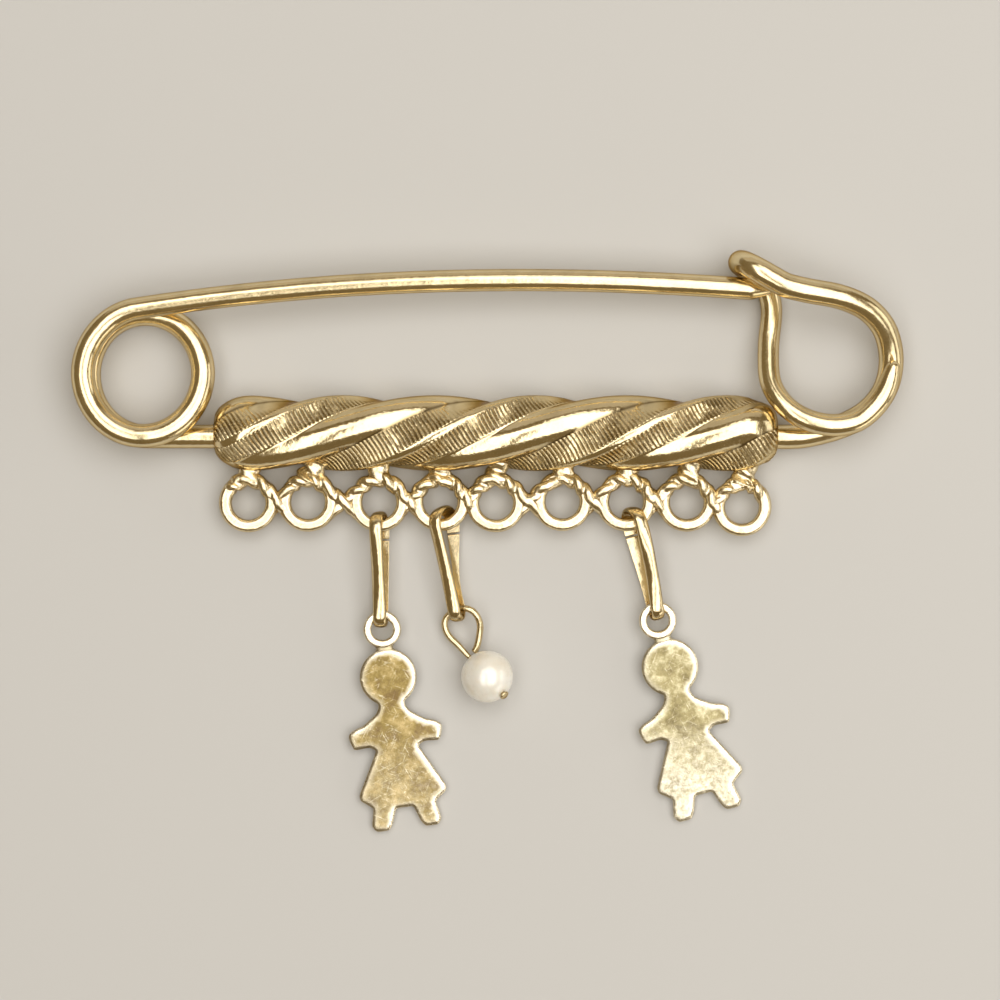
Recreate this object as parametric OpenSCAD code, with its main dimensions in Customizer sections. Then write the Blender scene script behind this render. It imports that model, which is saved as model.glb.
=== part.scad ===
// Safety pin brooch with a twisted bar, a row of rings and three small drops.
// It lies on its back: +X along the pin, +Y from the drops to the pin arm, +Z up to the front.
// The origin is under the middle of the whole brooch, on the surface that it lies on.

/* [Wire] */
// Diameter of the spring wire in the coil and the back wire
wire_d = 1.8; // [1.7:0.05:1.85]
// Diameter of the wire round the outside of the clasp
clasp_d = 1.88; // [1.75:0.01:1.9]
// Diameter of the wire where it comes down inside the clasp
clasp_inner_d = 1.62; // [1.5:0.02:1.64]
// Sides of the round wire
wire_sides = 14; // [10:2:16]

/* [Coil] */
// Middle of the coil, left of the origin
coil_x = -26.3; // [-26.5:0.1:-26.1]
// Middle of the coil, above the origin
coil_y = 13.0; // [12.8:0.1:13.2]
// Half width of the coil at the middle of its wire
coil_half_w = 4.53; // [4.4:0.01:4.6]
// Half height of the coil at the middle of its wire
coil_half_h = 4.84; // [4.7:0.01:4.9]

/* [Pin arm] */
// Diameter of the pin arm
arm_d = 1.68; // [1.5:0.02:1.7]
// Height of the arm's root above the surface
arm_root_z = 3.6; // [3.6:0.05:3.8]
// Height of the arm's tip above the surface
arm_tip_z = 2.75; // [2.7:0.01:2.8]
// Length of the ground point
arm_point = 1.6; // [1:0.1:3]
// Clearance at the arm's rounded root
root_gap = 0.09; // [0.06:0.01:0.15]

/* [Twisted bar] */
// Left end of the bar
bar_left = -20.98; // [-21.1:0.01:-20.9]
// Length of the bar
bar_length = 43.0; // [42.8:0.1:43.2]
// Middle of the bar above the origin
bar_y = 8.42; // [8.3:0.01:8.5]
// Height of the bar's axis above its flat back
bar_z = 1.75; // [1.6:0.05:2]
// Radius at the crest of a lobe
bar_crest_r = 2.9; // [2.8:0.02:2.92]
// Radius at the bottom of the clefts between the lobes
bar_cleft_r = 2.42; // [2.35:0.01:2.5]
// Length of one whole turn of the twist
twist_pitch = 29.4; // [26:0.2:32]
// Where a smooth lobe lies at the top edge
twist_start = -4; // [-6:0.1:-2]
// Angle from the middle of a smooth lobe to the cleft beside it
cleft_angle = 37; // [35:1:40]
// Angle from the middle of a smooth lobe to the middle of the ridge beside it
ridge_at = 94; // [90:1:96]
// Angle across the narrow flat along a ridge
ridge_flat = 12; // [10:1:14]
// Height of the back wire's axis above the surface
core_z = 1.45; // [1.4:0.05:1.55]
// Radial gap between the back wire and the bar
core_gap = 0.05; // [0.03:0.01:0.08]

/* [Ring row] */
// Radius of a ring's hole
ring_hole_r = 1.3; // [1.2:0.02:1.34]
// Thickness of a ring's metal
ring_wall = 0.96; // [0.9:0.02:0.98]
// Height of the rings' plane above the surface
ring_z = 1.5; // [1.4:0.05:1.6]

/* [Bails] */
// Width of the bent strip
bail_w = 0.9; // [0.8:0.02:0.92]
// Thickness of the strip
bail_t = 0.36; // [0.3:0.02:0.36]
// Radius inside the bail's upper bend
bail_top_r = 1.0; // [0.96:0.02:1.04]
// Radius inside the bail's lower bend
bail_foot_r = 0.66; // [0.64:0.01:0.7]
// Inside length of a bail
bail_inside = 8.2; // [8.15:0.05:8.3]
// Width of the slit where the strip's ends meet
bail_slit = 0.06; // [0.04:0.01:0.1]

/* [Girl charms] */
// Thickness of a charm
girl_t = 0.6; // [0.5:0.02:0.62]
// Radius of the head
girl_head_r = 2.18; // [2:0.02:2.3]
// Rounding of the outline's corners
girl_round = 0.22; // [0.1:0.02:0.3]
// Outer radius of the ring on the head
girl_ring_r = 1.45; // [1.4:0.01:1.5]
// Radius of the hole in that ring
girl_hole_r = 0.9; // [0.88:0.01:0.94]
// Distance from the ring's middle to the head's middle
girl_ring_to_head = 3.7; // [3.6:0.02:3.8]

/* [Pearl drop] */
// Diameter of the pearl
pearl_d = 4.0; // [3.8:0.05:4.05]
// Diameter of the pearl's wire
pearl_wire_d = 0.38; // [0.3:0.02:0.4]
// Radial gap between the wire and the drilled pearl
pearl_gap = 0.06; // [0.04:0.01:0.1]

/* [Hidden] */

wire_r = wire_d / 2;
arm_r = arm_d / 2;
clasp_r = clasp_d / 2;
clasp_inner_r = clasp_inner_d / 2;
bar_right = bar_left + bar_length;
core_y = 8.17;
ring_mid_r = ring_hole_r + ring_wall / 2;

gold = [0.85, 0.76, 0.53];
satin_gold = [0.74, 0.65, 0.38];
pearl_white = [0.95, 0.93, 0.87];

// Coil: angle from +X where the arm leaves it, and where the back wire leaves it
coil_arm_angle = 99;
coil_back_angle = 630;
coil_step = 12;
// Height of the wire's middle along the coil: angle, z
coil_heights = [
    [99, arm_root_z], [180, 3.4], [270, 3.3], [360, 2.45], [420, 1.7],
    [450, 1.5], [540, 1.35], [630, core_z - 0.08]
];

// Size of the coil's turns against its half width and half height: angle, share
coil_growth = [[99, 1], [135, 0.975], [180, 1], [360, 1], [420, 0.95], [450, 0.94], [540, 0.96], [630, 1]];

// Pin arm: the middle point that its bow is drawn towards, and its tip
arm_bow = [-4.6, 21.35];
arm_tip = [21.55, 19.24];

// Clasp, outer strand: x, y, z of the wire's middle, from the bar round to the hook
clasp_outer = [
    [22.4, 8.14, core_z], [23.9, 8.2, core_z], [25.4, 8.5, core_z], [27.0, 8.98, core_z],
    [28.55, 9.75, 1.45], [29.7, 10.8, 1.5], [30.45, 12.1, 1.55], [30.75, 13.6, 1.7],
    [30.6, 15.1, 2.1], [29.95, 16.6, 2.8], [28.55, 17.9, 3.55], [26.5, 18.7, 4.2],
    [24.2, 19.1, 4.5], [22.4, 19.5, 4.6]
];
// Clasp, hook over the arm: middle of the bend in plan, its direction in plan and its radius
hook_start = [20.7, 20.48];
hook_heading = 150;
hook_bend_r = 1.84;
hook_top_z = 4.6;
// Radius of the wire where it comes out behind the arm
hook_end_r = 0.88;
// Clasp, inner strand: x, y, z and radius, from behind the arm to the end beside the outer strand
clasp_inner = [
    [21.1, 19.9, 0.9, 0.86], [21.55, 18.9, 0.9, 0.82], [21.68, 17.6, 0.98, clasp_inner_r],
    [21.4, 15.3, 1.3, clasp_inner_r], [21.35, 13.0, 2.1, clasp_inner_r],
    [21.65, 11.7, 2.7, clasp_inner_r], [22.6, 10.35, 3.3, clasp_inner_r],
    [24.1, 9.4, 3.48, 0.83], [25.9, 8.98, 3.5, 0.85], [27.7, 9.2, 3.48, 0.85],
    [29.0, 10.1, 3.45, 0.85], [30.0, 11.35, 3.45, 0.83], [30.5, 12.7, 3.5, 0.72],
    [30.75, 13.9, 3.55, 0.4]
];

// Ring row: x and y of each ring's middle
ring_places = [
    [-18.4, 3.1], [-13.85, 3.15], [-8.4, 3.14], [-3.73, 3.18], [0.53, 3.1],
    [5.62, 3.2], [10.48, 3.18], [15.13, 3.15], [19.34, 2.8]
];
ring_sides = 8;
knot_r = 0.62;
knot_h = 0.72;
// How far a knot lies below the line between its two rings
knot_drop = 0.1;
stub_r = 0.5;
// Distance from the bar's axis at which a stub ends inside the bar
stub_end = 1.3;
bar_stations = 72;
bar_end = 2.2;
bar_end_scale = 0.56;
// How much closer together the stations lie near the ends
bar_crowding = 0.035;
// The lobes fade into a round end over this length, to this radius
bar_fade = 3;
bar_fade_r = 2.7;

// Half outline of the girl from the neck down: distance from the middle line, and below the head's middle
girl_half = [
    [1.02, 1.7], [1.02, 2.25], [1.3, 2.75], [2.36, 3.5], [3.2, 3.78], [3.62, 4.1],
    [3.52, 4.72], [3.3, 5.28], [2.13, 5.2], [1.62, 5.5], [3.36, 8.8], [3.34, 9.2],
    [2.4, 9.92], [2.7, 11.3], [2.4, 11.75], [1.4, 11.75], [1.08, 11.3], [0.66, 10.1]
];

// Where each drop lies: ring's middle, angle in plan, turn about its own length
ring_to_foot_z = 1.2;
foot_clearance = 0.03;
girl_left_at = [-8.19, -6.6];
girl_left_lean = 7.2;
girl_right_at = [12.93, -5.93];
girl_right_lean = 15;
hook_left_ring = 2;
hook_left_shift = 0.02;
hook_left_seat = 0.24;
hook_left_lift = 0.07;
hook_left_lean = 1;
hook_left_turn = -9;
hook_middle_ring = 3;
hook_middle_shift = 0.25;
hook_middle_seat = 0.58;
hook_middle_lift = 0;
hook_middle_lean = 8.5;
hook_middle_turn = -33;
hook_right_ring = 6;
hook_right_shift = 0.72;
hook_right_seat = 0.58;
hook_right_lift = 0.05;
hook_right_lean = 13.5;
hook_right_turn = 15;
pearl_at = [-0.15, -10.17, pearl_d / 2 + 0.02];
// Direction of the drilled hole: its angle in plan, and how far its lower right end is tipped up
pearl_heading = -46;
pearl_tip_up = 28;
// Pearl wire, straight part: distance from the pearl's middle, radius
pearl_stem = [
    [2.26, 0.28], [2.2, 0.36], [2.1, 0.36], [2.06, 0.19], [1, 0.19], [0, 0.19],
    [-1, 0.19], [-2.05, 0.19], [-2.3, 0.19]
];
// Pearl wire, loop: x, y, z of its middle, from the stem through the bail and back to the pearl
pearl_loop = [
    [-2.35, -7.85, 0.84], [-3.1, -7.1, 0.8], [-3.42, -6.3, 0.76], [-3.25, -5.68, 0.82],
    [-2.68, -5.2, 1.05], [-1.98, -4.98, 1.4], [-1.35, -5.12, 1.55], [-0.9, -5.6, 1.5],
    [-0.68, -6.3, 1.3], [-0.76, -7.2, 1.1], [-0.95, -8.0, 1.0], [-1.18, -8.4, 0.97]
];

// Vector helpers
function unit(v) = v / norm(v);

// Point of a Catmull-Rom curve through a, b, c, d, between b and c
function curve_point(a, b, c, d, t) =
    0.5 * (2 * b + (c - a) * t + (2 * a - 5 * b + 4 * c - d) * t * t + (3 * b - a - 3 * c + d) * t * t * t);

// A table of points made into a smooth curve with n steps between its rows
function smooth(rows, n) = let (last = len(rows) - 1) [
    for (i = [0 : last - 1], k = [0 : n - 1])
        curve_point(rows[max(i - 1, 0)], rows[i], rows[i + 1], rows[min(i + 2, last)], k / n),
    rows[last]
];

function xyz(p) = [p[0], p[1], p[2]];

// Direction of a path of [x, y, z, radius] rows at its row i
function heading(path, i) =
    unit(xyz(path[min(i + 1, len(path) - 1)]) - xyz(path[max(i - 1, 0)]));

// The side direction carried along the path without twisting
function carried(side, dir) = unit(side - (side * dir) * dir);
function sides_along(path, first) = [
    for (
        i = 0, s = carried(first, heading(path, 0));
        i < len(path);
        i = i + 1, s = carried(s, heading(path, min(i, len(path) - 1)))
    ) s
];

// A round wire along a path of [x, y, z, radius] rows
module round_wire(path, sides, first_side = [0, 0, 1]) {
    n = len(path);
    across = sides_along(path, first_side);
    points = [
        for (i = [0 : n - 1])
            let (d = heading(path, i), a = across[i], b = cross(d, a))
                for (k = [0 : sides - 1])
                    xyz(path[i]) + path[i][3] * (cos(360 * k / sides) * a + sin(360 * k / sides) * b)
    ];
    skin = [
        for (i = [0 : n - 2], k = [0 : sides - 1])
            let (m = (k + 1) % sides, p = i * sides, q = p + sides)
                [p + k, q + k, q + m, p + m]
    ];
    start_cap = [[for (k = [0 : sides - 1]) k]];
    end_cap = [[for (k = [sides - 1 : -1 : 0]) (n - 1) * sides + k]];
    polyhedron(concat(points), concat(skin, start_cap, end_cap));
}

// Coil path, from the split at the arm's root round to the back wire
function coil_point(a) = let (grow = lookup(a, coil_growth)) [
    coil_x + grow * coil_half_w * cos(a), coil_y + grow * coil_half_h * sin(a),
    lookup(a, coil_heights), wire_r
];
coil_start_angle = coil_arm_angle + (arm_r + root_gap) / coil_half_w * 180 / PI;
coil_path = [
    for (a = [coil_start_angle : coil_step : coil_back_angle - 1]) coil_point(a),
    coil_point(coil_back_angle)
];

// Back wire: straight through the bar
back_path = [
    [-24.6, core_y, core_z - 0.04, wire_r], [bar_left - 0.8, core_y, core_z, wire_r],
    [bar_left + 4, core_y, core_z, wire_r], [0, core_y, core_z, wire_r],
    [bar_right + 0.1, core_y, core_z, wire_r]
];

// Hook: half a turn over the arm, from the front strand down to the back strand
hook_path = [
    for (a = [90 : -15 : -90])
        let (reach = hook_bend_r * cos(a))
            [
                hook_start[0] + reach * cos(hook_heading),
                hook_start[1] + reach * sin(hook_heading),
                hook_top_z - hook_bend_r * (1 - sin(a)),
                a > 0 ? clasp_r : clasp_r + (hook_end_r - clasp_r) * (-a / 90)
            ]
];

clasp_start = [for (p = smooth(clasp_outer, 3)) [p[0], p[1], p[2], clasp_r]];
clasp_finish = smooth(clasp_inner, 3);
frame_path = concat(coil_path, back_path, clasp_start, hook_path, clasp_finish);

module frame_wire() {
    color(gold) round_wire(frame_path, wire_sides);
}

// Arm: a slight bow from the root to the tip, rounded at the root and ground to a point
arm_root = [coil_point(coil_arm_angle)[0], coil_point(coil_arm_angle)[1]];
arm_steps = 18;
// Share of the arm's radius halfway down the ground point, and at its tip
half_point_share = 0.7;
tip_share = 0.2;
function arm_point_at(t) = let (
    p = (1 - t) * (1 - t) * arm_root + 2 * t * (1 - t) * arm_bow + t * t * arm_tip
) [p[0], p[1], arm_root_z + (arm_tip_z - arm_root_z) * t];
arm_span = norm(arm_tip - arm_root);
arm_path = concat(
    [
        for (a = [80 : -16 : 0])
            let (p = arm_point_at(0), d = unit(arm_point_at(0.02) - p))
                concat(p - d * arm_r * sin(a), [arm_r * cos(a)])
    ],
    [for (i = [1 : arm_steps - 1]) concat(arm_point_at(i / arm_steps * (1 - arm_point / arm_span)), [arm_r])],
    [
        concat(arm_point_at(1 - arm_point / arm_span), [arm_r]),
        concat(arm_point_at(1 - arm_point / arm_span / 2), [arm_r * half_point_share]),
        concat(arm_point_at(1), [arm_r * tip_share])
    ]
);

module pin_arm() {
    color(gold) round_wire(arm_path, wire_sides);
}

// Bar: a round lobe at 0 and 180 degrees, and a ridge with straight sides between them
lobe_off = (pow(bar_crest_r, 2) - pow(bar_cleft_r, 2)) / 2 / (bar_crest_r - bar_cleft_r * cos(cleft_angle));
function lobe_r(b) = lobe_off * cos(b) + sqrt(pow(bar_crest_r - lobe_off, 2) - pow(lobe_off * sin(b), 2));
function polar(r, b) = r * [cos(b), sin(b)];
// Middle of a straight side: angle, radius
function side_middle(r1, b1, r2, b2) = let (p = (polar(r1, b1) + polar(r2, b2)) / 2)
    [atan2(p[1], p[0]), norm(p)];
ridge_from = ridge_at - ridge_flat / 2;
ridge_to = ridge_at + ridge_flat / 2;
// Half a turn of the section: angle, radius
half_section = concat(
    [for (i = [-4 : 4]) let (b = cleft_angle * i / 4) [b, lobe_r(b)]],
    [
        side_middle(bar_cleft_r, cleft_angle, bar_crest_r, ridge_from),
        [ridge_from, bar_crest_r], [ridge_to, bar_crest_r],
        side_middle(bar_crest_r, ridge_to, bar_cleft_r, 180 - cleft_angle)
    ]
);
bar_section = concat(half_section, [for (p = half_section) [p[0] + 180, p[1]]]);
bar_sides = len(bar_section);
function twist_at(x) = -360 * (x - twist_start) / twist_pitch;
function end_scale(x) = let (
    d = min(x - bar_left, bar_right - x), u = 1 - min(d / bar_end, 1)
) bar_end_scale + (1 - bar_end_scale) * sqrt(1 - u * u);
function faded(r, x) = let (u = min(min(x - bar_left, bar_right - x) / bar_fade, 1))
    bar_fade_r + (r - bar_fade_r) * u;
// Stations close up towards the two rounded ends
function station_x(i) = let (u = i / bar_stations)
    bar_left + bar_length * (u - bar_crowding * sin(360 * u) / 2);

module lobed_bar() {
    points = [
        for (i = [0 : bar_stations], p = bar_section)
            let (x = station_x(i), a = p[0] + twist_at(x), r = faded(p[1], x) * end_scale(x))
                [x, bar_y + r * cos(a), bar_z + r * sin(a)]
    ];
    skin = [
        for (i = [0 : bar_stations - 1], k = [0 : bar_sides - 1])
            let (m = (k + 1) % bar_sides, p = i * bar_sides, q = p + bar_sides)
                [p + k, q + k, q + m, p + m]
    ];
    start_cap = [[for (k = [0 : bar_sides - 1]) k]];
    end_cap = [[for (k = [bar_sides - 1 : -1 : 0]) bar_stations * bar_sides + k]];
    polyhedron(points, concat(skin, start_cap, end_cap));
}

// A ring with bevelled edges and a short cylinder inside its hole
module cast_ring() {
    rotate_extrude($fn = 48)
        translate([ring_mid_r, 0])
            rotate(180 / ring_sides)
                circle(r = ring_wall / 2 / cos(180 / ring_sides), $fn = ring_sides);
}

module ring_row() {
    for (p = ring_places)
        translate([p[0], p[1], ring_z])
            cast_ring();
    for (i = [0 : len(ring_places) - 2])
        translate([
            (ring_places[i][0] + ring_places[i + 1][0]) / 2,
            (ring_places[i][1] + ring_places[i + 1][1]) / 2 - knot_drop,
            ring_z
        ])
            cylinder(r = knot_r, h = knot_h, center = true, $fn = 24);
    for (p = ring_places)
        translate([p[0], p[1] + ring_mid_r, ring_z])
            rotate([-90, 0, 0])
                cylinder(r = stub_r, h = bar_y - p[1] - ring_mid_r - stub_end, $fn = 24);
}

module charm_bar() {
    color(gold) difference() {
        union() {
            lobed_bar();
            ring_row();
        }
        translate([bar_left - 1, bar_y - 5, -3])
            cube([bar_length + 2, 10, 3]);
        translate([bar_left - 1, core_y, core_z])
            rotate([0, 90, 0])
                cylinder(r = wire_r + core_gap, h = bar_length + 2, $fn = 48);
    }
}

// Bail: a strip bent into a long loop, wider at the top, its ends meeting on the back leg
bail_span = bail_inside - bail_top_r - bail_foot_r;
// Distance of the slit below the middle of the upper bend
bail_slit_drop = 0.85;
module bail_outline(grow) {
    hull() {
        circle(r = bail_top_r + grow, $fn = 28);
        translate([0, -bail_span])
            circle(r = bail_foot_r + grow, $fn = 28);
    }
}

module bail() {
    rotate([0, -90, 0])
        linear_extrude(bail_w, center = true)
            difference() {
                bail_outline(bail_t);
                bail_outline(0);
                translate([-bail_top_r - 2 * bail_t, -bail_slit_drop])
                    square([3 * bail_t, bail_slit]);
            }
}

// Puts a bail down with its upper bend round a ring of the row
bail_dip = asin((ring_z - ring_to_foot_z) / bail_span);
module laid_bail(ring, shift, seat, lift, lean, turn) {
    place = ring_places[ring];
    translate([place[0] + shift, place[1] - ring_hole_r - bail_top_r + seat, ring_z + lift])
        rotate([0, 0, lean])
            rotate([bail_dip, 0, 0])
                rotate([0, turn, 0])
                    bail();
}

module hook_left() {
    color(gold)
        laid_bail(
            hook_left_ring, hook_left_shift, hook_left_seat, hook_left_lift,
            hook_left_lean, hook_left_turn
        );
}

module hook_middle() {
    color(gold)
        laid_bail(
            hook_middle_ring, hook_middle_shift, hook_middle_seat, hook_middle_lift,
            hook_middle_lean, hook_middle_turn
        );
}

module hook_right() {
    color(gold)
        laid_bail(
            hook_right_ring, hook_right_shift, hook_right_seat, hook_right_lift,
            hook_right_lean, hook_right_turn
        );
}

// Girl: a flat charm, its origin in the middle of the ring on its head
module girl_outline() {
    offset(r = girl_round, $fn = 20)
        offset(delta = -girl_round)
            translate([0, -girl_ring_to_head]) {
                circle(r = girl_head_r, $fn = 56);
                polygon(concat(
                    [for (p = girl_half) [p[0], -p[1]]],
                    [for (i = [len(girl_half) - 1 : -1 : 0]) [-girl_half[i][0], -girl_half[i][1]]]
                ));
            }
}

module girl() {
    neck_w = 1.1;
    neck_overlap = 0.3;
    linear_extrude(girl_t, center = true)
        girl_outline();
    difference() {
        union() {
            cylinder(r = girl_ring_r, h = girl_t, center = true, $fn = 48);
            translate([-neck_w / 2, -girl_ring_to_head + girl_head_r - neck_overlap, -girl_t / 2])
                cube([neck_w, 2 * neck_overlap, girl_t]);
        }
        cylinder(r = girl_hole_r, h = 2 * girl_t, center = true, $fn = 48);
    }
}

// Lays a charm with its feet on the surface and its ring held up in the bail
girl_length = girl_ring_to_head + girl_half[14][1];
girl_dip = asin((ring_to_foot_z - girl_t / 2 - foot_clearance) / girl_length);
module laid_girl(at, lean) {
    translate([at[0], at[1], ring_to_foot_z])
        rotate([0, 0, lean])
            rotate([girl_dip, 0, 0])
                girl();
}

module girl_left() {
    color(satin_gold) laid_girl(girl_left_at, girl_left_lean);
}

module girl_right() {
    color(satin_gold) laid_girl(girl_right_at, girl_right_lean);
}

// Pearl: drilled along its wire's stem
module pearl() {
    color(pearl_white) translate(pearl_at)
        difference() {
            sphere(r = pearl_d / 2, $fn = 48);
            rotate([0, 0, pearl_heading])
                rotate([0, 90 - pearl_tip_up, 0])
                    cylinder(r = pearl_wire_d / 2 + pearl_gap, h = pearl_d + 1, center = true, $fn = 24);
        }
}

// Pearl wire: a small head on the pearl, then the stem through it and the loop
pearl_axis = [
    cos(pearl_tip_up) * cos(pearl_heading), cos(pearl_tip_up) * sin(pearl_heading), sin(pearl_tip_up)
];
pearl_wire_rows = concat(
    [for (p = pearl_stem) concat(pearl_at + p[0] * pearl_axis, [p[1]])],
    [for (p = pearl_loop) concat(p, [pearl_wire_d / 2])]
);
pearl_head_rows = 4;
pearl_wire_path = concat(
    [for (i = [0 : pearl_head_rows - 1]) pearl_wire_rows[i]],
    smooth([for (i = [pearl_head_rows : len(pearl_wire_rows) - 1]) pearl_wire_rows[i]], 2)
);
module pearl_wire() {
    color(gold) round_wire(pearl_wire_path, 8);
}

frame_wire();
pin_arm();
charm_bar();
hook_left();
hook_middle();
hook_right();
girl_left();
girl_right();
pearl();
pearl_wire();
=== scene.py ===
"""Looks of the safety pin brooch: polished wire, a cast twisted bar, woven rings and three drops.

Lengths are written in millimetres in the brooch's own frame and turned into metres as each mesh is made.
"""

import math

import bmesh
import bpy
import numpy as np
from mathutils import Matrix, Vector
from mathutils.geometry import delaunay_2d_cdt


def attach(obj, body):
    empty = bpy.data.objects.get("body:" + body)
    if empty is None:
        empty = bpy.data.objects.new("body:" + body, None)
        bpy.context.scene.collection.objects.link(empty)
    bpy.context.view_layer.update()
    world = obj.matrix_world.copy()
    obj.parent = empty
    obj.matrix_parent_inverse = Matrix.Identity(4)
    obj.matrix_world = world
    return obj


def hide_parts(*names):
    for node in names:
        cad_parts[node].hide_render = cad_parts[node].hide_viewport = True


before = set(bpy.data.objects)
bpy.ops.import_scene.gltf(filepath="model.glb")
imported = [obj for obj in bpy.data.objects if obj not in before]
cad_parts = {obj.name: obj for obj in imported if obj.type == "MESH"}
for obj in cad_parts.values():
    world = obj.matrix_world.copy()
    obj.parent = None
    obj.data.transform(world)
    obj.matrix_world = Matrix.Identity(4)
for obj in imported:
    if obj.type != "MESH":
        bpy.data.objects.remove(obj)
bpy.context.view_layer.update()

MM = 0.001

# Wire
WIRE_R = 0.9
CLASP_R = 0.94
WIRE_SIDES = 48
WIRE_STEP = 0.14
COIL_MIDDLE = (-26.3, 13.0)
COIL_HALF_W = 4.53
COIL_HALF_H = 4.84
COIL_ARM_ANGLE = 99
COIL_BACK_ANGLE = 630
# Angle and height, and angle and growth, along the coil
COIL_HEIGHTS = [
    (99, 3.6), (180, 3.4), (270, 3.3), (360, 2.45), (420, 1.7), (450, 1.5), (540, 1.35), (630, 1.37),
]
COIL_GROWTH = [(99, 1), (135, 0.975), (180, 1), (360, 1), (420, 0.95), (450, 0.94), (540, 0.96), (630, 1)]
CORE_Y = 8.17
CORE_Z = 1.45

# Clasp: x, y, z, and a radius where the wire gets thinner
CLASP_OUTER = [
    (22.4, 8.14, 1.45), (23.9, 8.2, 1.45), (25.4, 8.5, 1.45), (27.0, 8.98, 1.45), (28.55, 9.75, 1.45),
    (29.7, 10.8, 1.5), (30.45, 12.1, 1.55), (30.75, 13.6, 1.7), (30.6, 15.1, 2.1), (29.95, 16.6, 2.8),
    (28.55, 17.9, 3.55), (26.5, 18.7, 4.2), (24.2, 19.1, 4.5), (22.4, 19.5, 4.6),
]
HOOK_MIDDLE = (20.7, 20.48)
HOOK_HEADING = math.radians(150)
HOOK_BEND_R = 1.84
HOOK_TOP_Z = 4.6
HOOK_END_R = 0.88
CLASP_NOSE = 0.35
CLASP_INNER = [
    (21.1, 19.9, 0.9, 0.86), (21.55, 18.9, 0.9, 0.82), (21.68, 17.6, 0.98, 0.81), (21.4, 15.3, 1.48, 0.81),
    (21.35, 13.0, 2.24, 0.81), (21.65, 11.7, 2.74, 0.81), (22.6, 10.35, 3.3, 0.81), (24.1, 9.4, 3.48, 0.83),
    (25.9, 8.98, 3.5, 0.85), (27.7, 9.2, 3.48, 0.85), (29.0, 10.1, 3.45, 0.85), (30.0, 11.35, 3.45, 0.83),
    (30.5, 12.7, 3.5, 0.72), (30.75, 13.9, 3.55, 0.4),
]

# Pin arm
ARM_R = 0.84
ARM_ROOT_Z = 3.6
ARM_BOW = (-4.6, 21.35)
ARM_TIP = (21.55, 19.24)
ARM_TIP_Z = 2.75
ARM_POINT = 1.6
ARM_POINT_SHARE = 0.12
ARM_POINT_POWER = 0.7
# How fast the frame's wire thickens from the arm's root: at its start, and for each millimetre
ROOT_SPARE = 0.004
ROOT_EASE = 0.02

# Twisted bar
BAR_LEFT = -20.98
BAR_LENGTH = 43.0
BAR_Y = 8.42
BAR_Z = 1.75
CREST_R = 2.9
CLEFT_R = 2.42
CLEFT_ANGLE = 37.0
RIDGE_AT = 94.0
RIDGE_FLAT = 12.0
TWIST_PITCH = 29.4
TWIST_START = -4.0
BAR_END = 2.5
BAR_END_SCALE = 0.42
BAR_FADE = 3.0
BAR_FADE_R = 2.7
BAR_ROWS = 400
BAR_UNEVEN = 0.035
RIDGE_R = 2.66
LINE_PITCH = 0.34
BEAD = 0.07

# Ring row
RING_PLACES = [
    (-18.4, 3.1), (-13.85, 3.15), (-8.4, 3.14), (-3.73, 3.18), (0.53, 3.1),
    (5.62, 3.2), (10.48, 3.18), (15.13, 3.15), (19.34, 2.8),
]
RING_MID_R = 1.78
RING_WALL = 0.96
RING_Z = 1.5
RING_STEPS = 72
RING_CORNER = 0.36
STRAND_R = 0.54
STRAND_TWIST = 2.7
STRAND_NOTCH = 0.5
STRAND_OVER = 0.16
STRAND_SINK = 0.34
STRAND_SINK_RUN = 0.9
STRAND_PLAIN_RUN = 1.4
STUB_R = 0.66
STUB_FLARE = 0.5
# How far each ring's stub leans along the bar
STUB_LEAN = [0.2, 1.0, -0.2, -0.3, 0.2, 0.15, 0.3, 0.5, 0.55]

# Bails
BAIL_W = 1.02
BAIL_T = 0.36
BAIL_TOP_R = 1.0
BAIL_FOOT_R = 0.66
BAIL_INSIDE = 8.2
BAIL_SPAN = BAIL_INSIDE - BAIL_TOP_R - BAIL_FOOT_R
RING_TO_FOOT_Z = 1.2
RING_HOLE_R = 1.3
BAIL_JOIN = -0.85
BAIL_STEP = 0.09
# Each bail hangs in one ring of the row, moved by its shift, seat and lift. It leans, and turns from top to
# foot, more evenly where late is near 1. Its front leg is twisted, and its back leg has a waist.
BAILS = [
    dict(node="hook_left", ring=2, shift=-0.02, seat=0.24, lift=0.07, lean=1,
         turn_top=-12, turn_foot=-4, late=2.0, twist=-20, waist=0.0),
    dict(node="hook_middle", ring=3, shift=0.25, seat=0.58, lift=0.0, lean=8.5,
         turn_top=-37, turn_foot=-14, late=1, twist=-9, waist=0.5),
    dict(node="hook_right", ring=6, shift=0.72, seat=0.58, lift=0.05, lean=13.5,
         turn_top=24, turn_foot=9, late=1.2, twist=-42, waist=0.1),
]

# Girl charms
GIRL_T = 0.6
GIRL_HEAD_R = 2.18
GIRL_RING_R = 1.45
GIRL_HOLE_R = 0.9
GIRL_RING_TO_HEAD = 3.7
GIRL_NECK_AT = (1.02, -1.927)
# The right half below the head: distance from the middle and below the head's middle
GIRL_HALF = [
    (1.02, 2.25), (1.3, 2.75), (2.36, 3.5), (3.2, 3.78), (3.62, 4.1), (3.52, 4.72), (3.3, 5.28),
    (2.13, 5.2), (1.62, 5.5), (3.36, 8.8), (3.34, 9.2), (2.4, 9.92), (2.7, 11.3), (2.4, 11.75),
    (1.4, 11.75), (1.08, 11.3), (0.66, 10.1),
]
# The row of that table where the foot is lowest
GIRL_FOOT = 13
FOOT_CLEAR = 0.03
# The neck's rows: distance below the ring's outer edge, half width and half thickness
GIRL_NECK = [(-0.3, 0.8, 0.23), (-0.02, 0.62, 0.22), (0.14, 0.7, 0.23), (0.5, 1.1, 0.24)]
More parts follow.
